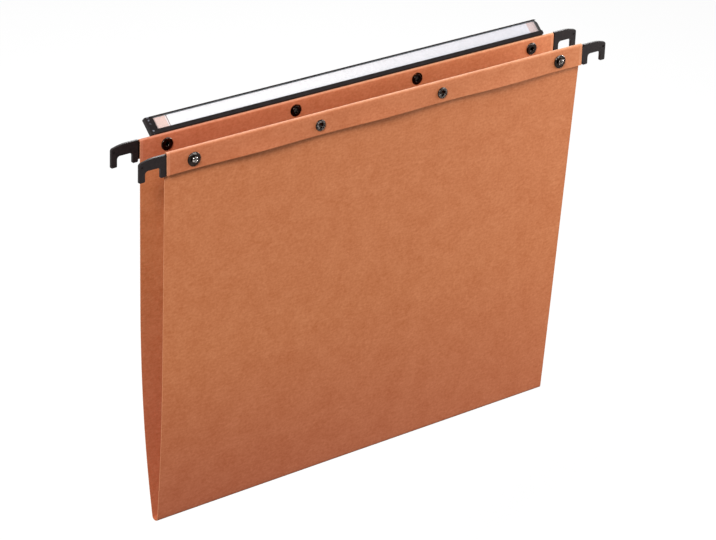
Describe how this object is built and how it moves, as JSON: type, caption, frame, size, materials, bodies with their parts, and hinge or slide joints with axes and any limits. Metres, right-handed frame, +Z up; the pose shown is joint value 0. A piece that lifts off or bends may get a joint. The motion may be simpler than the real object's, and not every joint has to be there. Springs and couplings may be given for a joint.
{
  "type": "hanging file folder",
  "caption": "Kraft card hanging file folder with a folded base, barred hems on black hooks, press studs and a sloping label holder along the rear hem.",
  "frame": {"origin": "midway between the two rails and between the two hems, level with the faces where the hooks rest", "axes": "+X along the hems to the right, +Y to the rear, +Z up"},
  "size_m": [0.3493, 0.0397, 0.2473],
  "materials": {
    "kraft_card": "matt kraft card",
    "hook_nylon": "satin black",
    "bar_steel": "rolled strip",
    "fastener_metal": "blackened",
    "holder_plastic": "semi-gloss black",
    "label_paper": "plain white paper",
    "window_plastic": "clear"
  },
  "bodies": {
    "rear_half": {"rear_panel": "kraft_card", "rear_bar": "bar_steel", "rear_left_hook": "hook_nylon", "rear_left_socket": "fastener_metal", "rear_left_socket_post": "fastener_metal", "rear_left_eyelet": "fastener_metal", "rear_left_eyelet_washer": "fastener_metal", "rear_right_hook": "hook_nylon", "rear_right_socket": "fastener_metal", "rear_right_socket_post": "fastener_metal", "rear_right_eyelet": "fastener_metal", "rear_right_eyelet_washer": "fastener_metal", "label_holder": "holder_plastic"},
    "front_half": {"front_panel": "kraft_card", "front_bar": "bar_steel", "front_left_hook": "hook_nylon", "front_left_stud": "fastener_metal", "front_left_stud_post": "fastener_metal", "front_left_eyelet": "fastener_metal", "front_left_eyelet_washer": "fastener_metal", "front_right_hook": "hook_nylon", "front_right_stud": "fastener_metal", "front_right_stud_post": "fastener_metal", "front_right_eyelet": "fastener_metal", "front_right_eyelet_washer": "fastener_metal"},
    "label": {"label_strip": "label_paper"},
    "window": {"label_window": "window_plastic"}
  },
  "joints": [
    {"name": "fold_hinge", "type": "hinge", "parent": "rear_half", "child": "front_half", "pos_m": [0, -0.0012, -0.2306], "axis": [1, 0, 0], "range_deg": [-4.5, 175], "stiffness_Nm_per_rad": 0.3, "springref_deg": -0.65},
    {"name": "label_slide", "type": "slide", "parent": "rear_half", "child": "label", "axis": [1, 0, 0], "range_m": [0, 0.28]},
    {"name": "window_slide", "type": "slide", "parent": "rear_half", "child": "window", "axis": [1, 0, 0], "range_m": [0, 0.28]}
  ]
}
